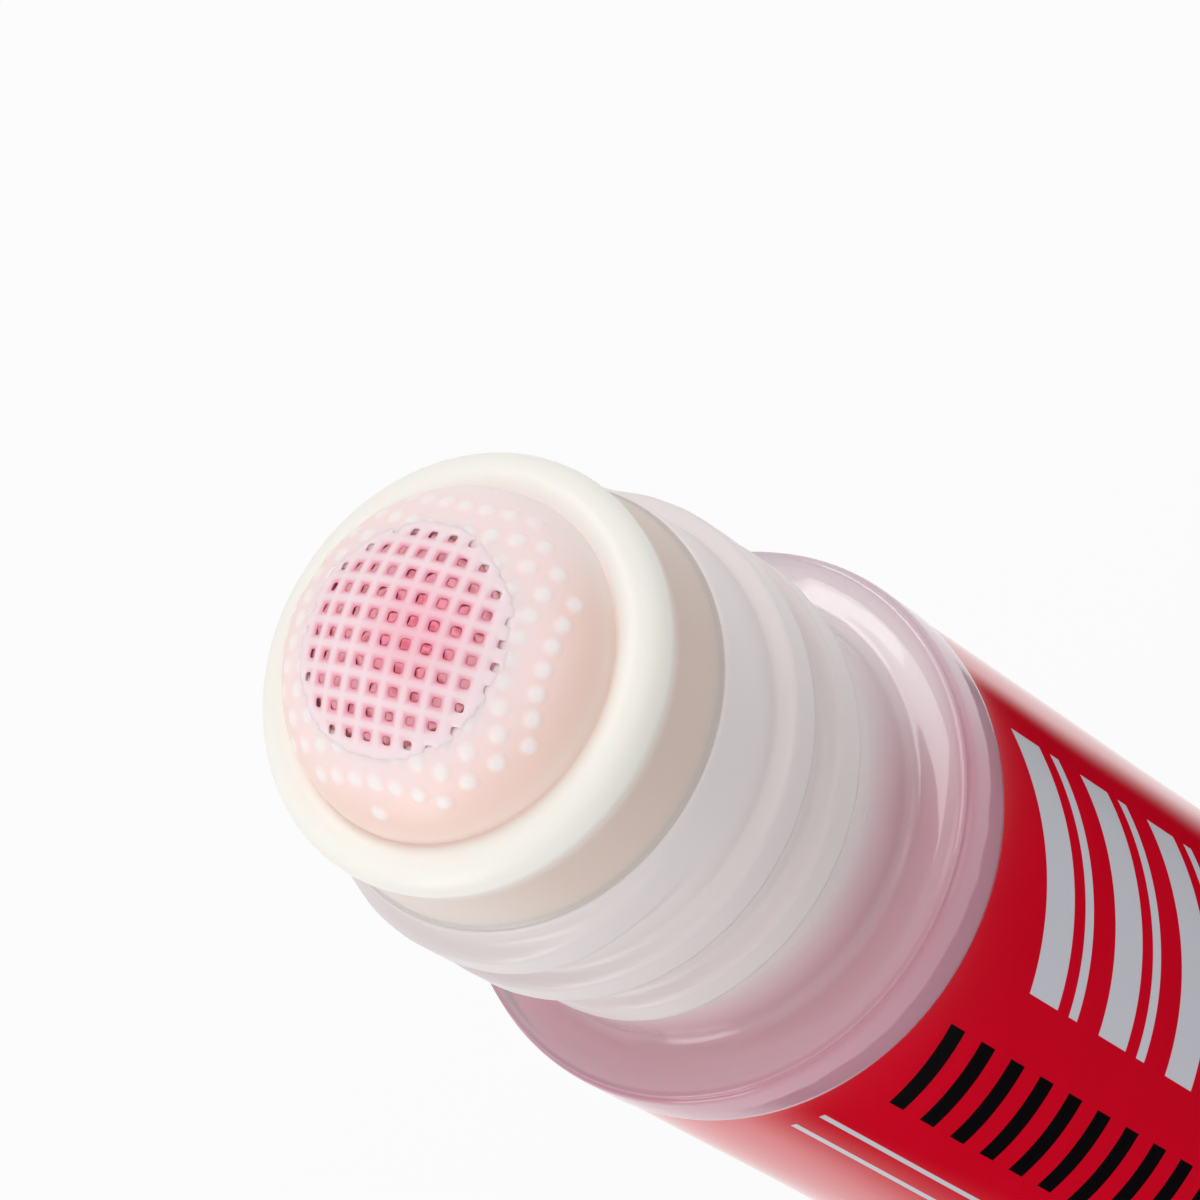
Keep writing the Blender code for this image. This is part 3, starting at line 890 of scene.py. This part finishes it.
def edge_shift(reach, angle):
    """How far the skin's edge lies aside: off centre as a whole, with waves of flash, fading outward."""
    wander = sum(size * np.sin(count * angle + start) for size, count, start in WANDER_WAVES)
    aside = WANDER * wander + OFF_CENTRE * np.cos(angle - OFF_CENTRE_WAY)
    return aside * (1 - ease(SKIN_EDGE, SKIN_EDGE + WANDER_FADE, reach))


def tip_relief(r, z, angle):
    """Raise the knuckles, set the open middle off centre, and let the skin's edge wander as flash does."""
    reach, depth = tip_place(r, z)
    bump = bump_at(r, z, angle)
    aside = edge_shift(reach, angle) * (1 - ease(FACE_DEPTH, EDGE_DEPTH, depth))
    new_r, new_z = tip_surface(reach + aside, depth - KNUCKLE_HEIGHT * bump)
    moved = (aside != 0) | (bump > 0)
    return np.where(moved, new_r, r), np.where(moved, new_z, z)


def tip_detail(r, z):
    """More rows on the tip's outer face, which carries the knuckles."""
    reach, depth = tip_place(r, z)
    return FACE_WORTH * ((reach < FACE_END) & (depth < FACE_DEPTH))


stopper_rows = thinned(softened(stopper_line, SOFT_EDGE, True), STOPPER_ROWS, True, tip_detail)
stopper_points, stopper_faces = turned(stopper_rows, STOPPER_TURNS, True, tip_relief)
print("stopper of", len(stopper_points), "points")

# %% [markdown]
# Soft ivory plastic lets a little light in, so shadows on it turn warm. The waist under the rim is also
# painted darker and warmer, as painted shade, and lighter on its left, as painted light. The low flank is
# painted paler on the side that faces the light. The thin flank over the wet pad looks pink. A ramp up the
# axis could show that, but the rim reaches as high as the flank's foot. So the blush is a number on each
# point: full on the flank, none on the rim. A second number marks the knuckles, where the white thread
# shines through.

# %% Ivory plastic
SHADED_WAIST = (RIM - 1.6 * MM, RIM - 0.4 * MM)
LIT_SIDE = (-12.0 * MM, -5.0 * MM)
FLANK_LIGHT_REACH = (4.0 * MM, 9.0 * MM)
NEAR_NET = (TIP - 4.2 * MM, TIP - 1.6 * MM)
BLUSH_RADIUS = (10.2 * MM, 9.4 * MM)
BLUSH_HEIGHT = (RIM + 0.6 * MM, RIM + 1.6 * MM)
GRAIN_SIZE = 0.5 * MM
GRAIN_DEPTH = 0.004 * MM
ivory, tree, shader = finish("ivory_plastic", {
    "Roughness": 0.38, "IOR": 1.45, "Subsurface Weight": 0.5, "Subsurface Scale": 2.0 * MM,
    "Subsurface Radius": (1.0, 0.6, 0.45)})
point, (x, _, z) = place(tree)
blush = add(tree, "Attribute", attribute_name="blush").outputs["Fac"]
# Painted shade and light: below the rim the waist is darker and warmer, and lighter on its left side.
painted_waist = blend(tree, rise(tree, x, *LIT_SIDE, 1.0, 0.0), colour(218, 199, 188), colour(228, 214, 205))
plain = blend(tree, rise(tree, z, *SHADED_WAIST, 1.0, 0.0), colour(244, 241, 234), painted_waist)
near_net = rise(tree, z, *NEAR_NET)
# Painted light: the low flank is paler on the side that faces the light.
flank_light = rise(tree, towards(tree, point, LIGHT_WAY), *FLANK_LIGHT_REACH)
low_flank = blend(tree, flank_light, colour(252, 217, 206), colour(254, 231, 229))
flank = blend(tree, blush, plain, blend(tree, near_net, low_flank, colour(255, 226, 225)))
dots = add(tree, "Attribute", attribute_name="knuckle").outputs["Fac"]
tree.links.new(blend(tree, dots, flank, colour(252, 236, 234)), shader.inputs["Base Color"])
dent(tree, shader, grain(tree, point, GRAIN_SIZE), GRAIN_DEPTH)
stopper = piece("ivory_stopper", stopper_points, stopper_faces, ivory, "applicator", "applicator_stopper")
x, y, height = stopper_points.T
off_axis = np.hypot(x, y)
mark(stopper, "blush", ease(*BLUSH_RADIUS, off_axis) * ease(*BLUSH_HEIGHT, height))
mark(stopper, "knuckle", bump_at(off_axis, height, np.arctan2(y, x)))

# %% [markdown]
# ## The net
# The net is woven of flat nylon threads, and they lie level and melted together where they cross. Tubes laid
# over and under each other would show edges that the real net doesn't have. So it is one sheet of square
# frames: each frame rings one hole, its section is a flat oval, and neighbours share their borders. The
# sheet is laid on the dome by keeping each point's distance and direction from the top.

# %% Weave
THREAD_HALF = (0.33 * MM, 0.13 * MM)
WET_SPOT = (0.8 * MM, -1.0 * MM)
FILLED = 0.07 * MM
FILLED_RISE = (1.0 * MM, 5.0 * MM)
HOLE_POWER = 3.2
ROUND_SHARE = 0.75
CROWN = 0.012 * MM
CROWN_REACH = 0.30 * MM
PINK_SHARE = 0.9
BETWEEN_PINK = 0.16
NET_DEPTH = THREAD_HALF[1] + CROWN
BURIED = 0.20 * MM
DIVE_FROM = SKIN_EDGE + 0.35 * MM
DIVE_TO = SKIN_EDGE + 1.1 * MM
END_SINK = 0.3 * MM
WELD = 0.0001 * MM
NET_RINGS = 7
NET_TURNS = 32


def frames(steps, turns):
    """Frames round every hole: an array (frame, ring, turn, 3) of flat points, and how pink each point is.

    A ring lies a share of the way from the hole, a rounded square, to the square border of its cell. The
    rings run from the border over the top to the hole, and under it back to the border.
    """
    count = int(NET_REACH / NET_PITCH) + 1
    cell = (np.arange(-count, count) + 0.5) * NET_PITCH
    u, v = (axis.ravel()[:, None, None] for axis in np.meshgrid(cell, cell))
    x, y = NET_SHIFT[0] + u * turn_c - v * turn_s, NET_SHIFT[1] + u * turn_s + v * turn_c
    held = (np.hypot(x, y) < NET_REACH - NET_PITCH / 2).ravel()
    u, v, x, y = u[held], v[held], x[held], y[held]
    filled = FILLED * ease(*FILLED_RISE, np.hypot(x - WET_SPOT[0], y - WET_SPOT[1]))
    way = np.arange(turns) * math.tau / turns
    wide, tall = np.cos(way), np.sin(way)
    border = NET_PITCH / 2 / np.maximum(np.abs(wide), np.abs(tall))
    power = np.abs(wide) ** HOLE_POWER + np.abs(tall) ** HOLE_POWER
    hole = (NET_PITCH / 2 - THREAD_HALF[0] - filled) / power ** (1 / HOLE_POWER)
    out = 1 - np.cos(np.linspace(0.0, math.pi / 2, steps))
    share = np.concatenate([out[::-1], out[1:]])[:, None]
    side = np.concatenate([np.ones(steps), -np.ones(steps - 1)])[:, None]
    arch = np.sqrt(1 - (1 - np.minimum(share / ROUND_SHARE, 1.0)) ** 2)
    reach = hole + (border - hole) * share
    a, b = u + reach * wide, v + reach * tall
    off_a, off_b = a - NET_PITCH * np.round(a / NET_PITCH), b - NET_PITCH * np.round(b / NET_PITCH)
    bell = np.exp(-(np.hypot(off_a, off_b) / CROWN_REACH) ** 2)
    crown = CROWN * bell * (side > 0) * arch
    flat = np.stack(np.broadcast_arrays(a, b, side * THREAD_HALF[1] * arch + crown), -1)
    return flat, np.maximum(1 - ease(0.0, PINK_SHARE, share), BETWEEN_PINK * (1 - bell))


def on_dome(flat):
    """Lay flat points (a, b, height) on the tip: turn and shift them, then keep distance and direction.

    Out on the flank the net is pulled longer, so distance grows faster there, and it lies under the skin.
    """
    a = NET_SHIFT[0] + flat[..., 0] * turn_c - flat[..., 1] * turn_s
    b = NET_SHIFT[1] + flat[..., 0] * turn_s + flat[..., 1] * turn_c
    reach, way = np.hypot(a, b), np.arctan2(b, a)
    pulled = reach + STRETCH * np.maximum(0.0, reach - STRETCH_FROM)
    at_edge = ease(DIVE_FROM, DIVE_TO, pulled - edge_shift(pulled, way))
    sunk = BURIED * at_edge + END_SINK * ease(NET_REACH - END_SINK, NET_REACH, reach)
    r, z = tip_surface(pulled, NET_DEPTH - flat[..., 2] + sunk)
    return np.stack([r * np.cos(way), r * np.sin(way), z], -1)


def welded(rings):
    """Join frames where they share points, and close the sheet's outer border with a wall.

    Gives which points to keep, and the faces. A border edge that only one frame uses gets a piece of wall.
    """
    keys = np.round(rings.reshape(-1, 3) / WELD).astype(np.int64)
    _, keep, number = np.unique(keys, axis=0, return_index=True, return_inverse=True)
    number = number.reshape(rings.shape[:3])
    beside = np.roll(number, -1, 2)
    quads = np.stack([number[:, :-1], beside[:, :-1], beside[:, 1:], number[:, 1:]], -1).reshape(-1, 4)
    edges = np.sort(np.stack([number[:, 0], beside[:, 0]], -1).reshape(-1, 2), 1)
    _, which, uses = np.unique(edges, axis=0, return_inverse=True, return_counts=True)
    lone = (uses[which.ravel()] == 1).reshape(number[:, 0].shape)
    wall = np.stack([number[:, -1][lone], beside[:, -1][lone], beside[:, 0][lone], number[:, 0][lone]], -1)
    return keep, np.concatenate([quads, wall]).tolist()


flat_net, net_pink = frames(NET_RINGS, NET_TURNS)
net_keep, net_faces = welded(flat_net)
net_points = on_dome(flat_net).reshape(-1, 3)[net_keep]
print("net of", len(flat_net), "holes")

# %% [markdown]
# Nylon thread is white and smooth, and the glue stains it pink at the holes and where the wet pad presses
# through. Noise could blotch it, but the stain follows the weave. So the first is a number on each point,
# how near it lies to its hole, and the second a soft round patch.

# %% Nylon
STAIN = (*WET_SPOT, TIP)
STAIN_CORE = 0.5 * MM
STAIN_REACH = 4.6 * MM
STAIN_SHARE = 0.6
PINK_EDGE = (SKIN_EDGE + 0.2 * MM, SKIN_EDGE - 0.9 * MM)


def wet_patch(tree, most):
    """The round patch where glue comes through: that much in its middle, and smoothly less with distance."""
    point, _ = place(tree)
    away = add(tree, "VectorMath", {0: point, 1: STAIN}, operation="DISTANCE").outputs["Value"]
    return rise(tree, away, STAIN_CORE, STAIN_REACH, most, 0.0)


nylon, tree, shader = finish("nylon_net", {
    "Roughness": 0.42, "IOR": 1.5, "Subsurface Weight": 0.4, "Subsurface Scale": 0.6 * MM,
    "Subsurface Radius": (1.0, 0.5, 0.5)})
pink = add(tree, "Attribute", attribute_name="pink").outputs["Fac"]
dry = blend(tree, pink, colour(253, 224, 228), colour(246, 158, 178))
stained = blend(tree, wet_patch(tree, STAIN_SHARE), dry, colour(246, 164, 182))
tree.links.new(stained, shader.inputs["Base Color"])
net = piece("woven_net", net_points, net_faces, nylon, "applicator", "net")
x, y, height = net_points.T
net_reach, _ = tip_place(np.hypot(x, y), height)
net_reach = net_reach - edge_shift(net_reach, np.arctan2(y, x))
mark(net, "pink", net_pink.ravel()[net_keep] * ease(*PINK_EDGE, net_reach))

# %% [markdown]
# ## The sponge pad
# Behind the net sits a foam pad soaked with glue. Its pits could be painted, but real ones have depth. Foam
# is a crowd of burst bubbles, so each point is pushed in by how near it lies to the closest of many
# scattered bubble centres. The net presses on the pad, so the foam also swells a little into each hole.

# %% Pad
PAD_TOP = 13.37 * MM
PAD_BOSS = 26.3
BOSS_DEPTH = 2.0 * MM
PAD_DISC_DOME = 11.18 * MM
PAD_DISC = 8.1 * MM
PAD_ROUND = 0.12 * MM
PAD_HEART = DOME_CENTRE + 4 * MM
PAD_FOOT = (PAD_FLOOR + 0.2 * MM, PAD_FLOOR + 1.0 * MM)
PAD_FACE = TIP - 3 * MM
PAD_FACE_WORTH = 3.0
PAD_ROWS = 170
PAD_TURNS = 340
PORE = 0.62 * MM
PORE_DEPTH = 0.10 * MM
PORE_SEED = 7
PORE_EDGE = (0.25, 0.62)
DRAWN = 4096
SCRAMBLE = np.array([73856093, 19349663, 83492791])
BULGE = 0.17 * MM
BULGE_FOOT = 0.24 * MM
BULGE_FULL = 0.40 * MM
BULGE_FADE = 0.5 * MM
ASIDE_FROM_TOP = 5.0 * MM


def pores(points, cell, seed):
    """How deep each point lies in the nearest bubble, 0 to 1, with one drawn bubble centre to a cell."""
    draw = np.random.default_rng(seed).random((DRAWN, 3))
    base = np.floor(points / cell).astype(np.int64)
    nearest = np.full(len(points), np.inf)
    for step in np.ndindex(3, 3, 3):
        box = base + np.array(step) - 1
        key = (box * SCRAMBLE).sum(1) % DRAWN
        nearest = np.minimum(nearest, np.linalg.norm(points / cell - box - draw[key], axis=1))
    return 1 - ease(*PORE_EDGE, nearest)


def pressed_foam(r, z, angle):
    """Set the boss aside with the opening that it fills, and swell it by its distance from the threads."""
    reach, depth = tip_place(r, z)
    reach = reach + edge_shift(reach, angle) * ease(0.0, ASIDE_FROM_TOP, reach)
    off_u, off_v, _, _ = off_crossing(reach, angle)
    swell = ease(BULGE_FOOT, BULGE_FULL, np.minimum(np.abs(off_u), np.abs(off_v)))
    swell = swell * ease(SKIN_EDGE, SKIN_EDGE - BULGE_FADE, reach) * (depth < FACE_DEPTH)
    new_r, new_z = tip_surface(reach, depth - BULGE * swell)
    boss = np.hypot(r, z - DOME_CENTRE) > DOME_RADIUS - BOSS_DEPTH
    return np.where(boss, new_r, r), np.where(boss, new_z, z)


def pad_detail(_, z):
    """More rows on the boss, which swells into the holes."""
    return PAD_FACE_WORTH * (z > PAD_FACE)


disc_turn = math.degrees(math.asin(PAD_DISC / PAD_DISC_DOME))
pad_line = outline(dome(PAD_TOP, 0, PAD_BOSS), dome(PAD_DISC_DOME, PAD_BOSS, disc_turn),
                   (PAD_DISC, PAD_FLOOR), (0.0, PAD_FLOOR))
pad_rows = thinned(softened(pad_line, PAD_ROUND, False), PAD_ROWS, False, pad_detail)
pad_points, pad_faces = turned(pad_rows, PAD_TURNS, False, pressed_foam)
inward = np.array([0.0, 0.0, PAD_HEART]) - pad_points
inward /= np.linalg.norm(inward, axis=1)[:, None]
pit = pores(pad_points, PORE, PORE_SEED) * ease(*PAD_FOOT, pad_points[:, 2])
pad_points = pad_points + inward * (pit * PORE_DEPTH)[:, None]
print("pad of", len(pad_points), "points, pitted up to", round(PORE_DEPTH * pit.max() / MM, 3), "mm")

# %% [markdown]
# Light alone could shade the foam's pits, but they lie behind the net in its shadow. So each point is
# painted darker by its depth, as painted shade in the pits, and the glue reddens it where it comes through.

# %% Wet foam
foam, tree, shader = finish("wet_foam", {
    "Roughness": 0.35, "IOR": 1.4, "Subsurface Weight": 0.3, "Subsurface Scale": 0.8 * MM,
    "Subsurface Radius": (1.0, 0.3, 0.35)})
# Painted shade: the deeper a point lies in a pit, the darker its colour.
pit_shade_share = add(tree, "Attribute", attribute_name="pit").outputs["Fac"]
soaked = wet_patch(tree, 1.0)
crest = blend(tree, soaked, colour(226, 154, 161), colour(246, 134, 156))
pit_shade_colour = blend(tree, soaked, colour(212, 132, 142), colour(234, 108, 132))
tree.links.new(blend(tree, pit_shade_share, crest, pit_shade_colour), shader.inputs["Base Color"])
pad = piece("sponge", pad_points, pad_faces, foam, "applicator", "sponge_pad")
mark(pad, "pit", pit)
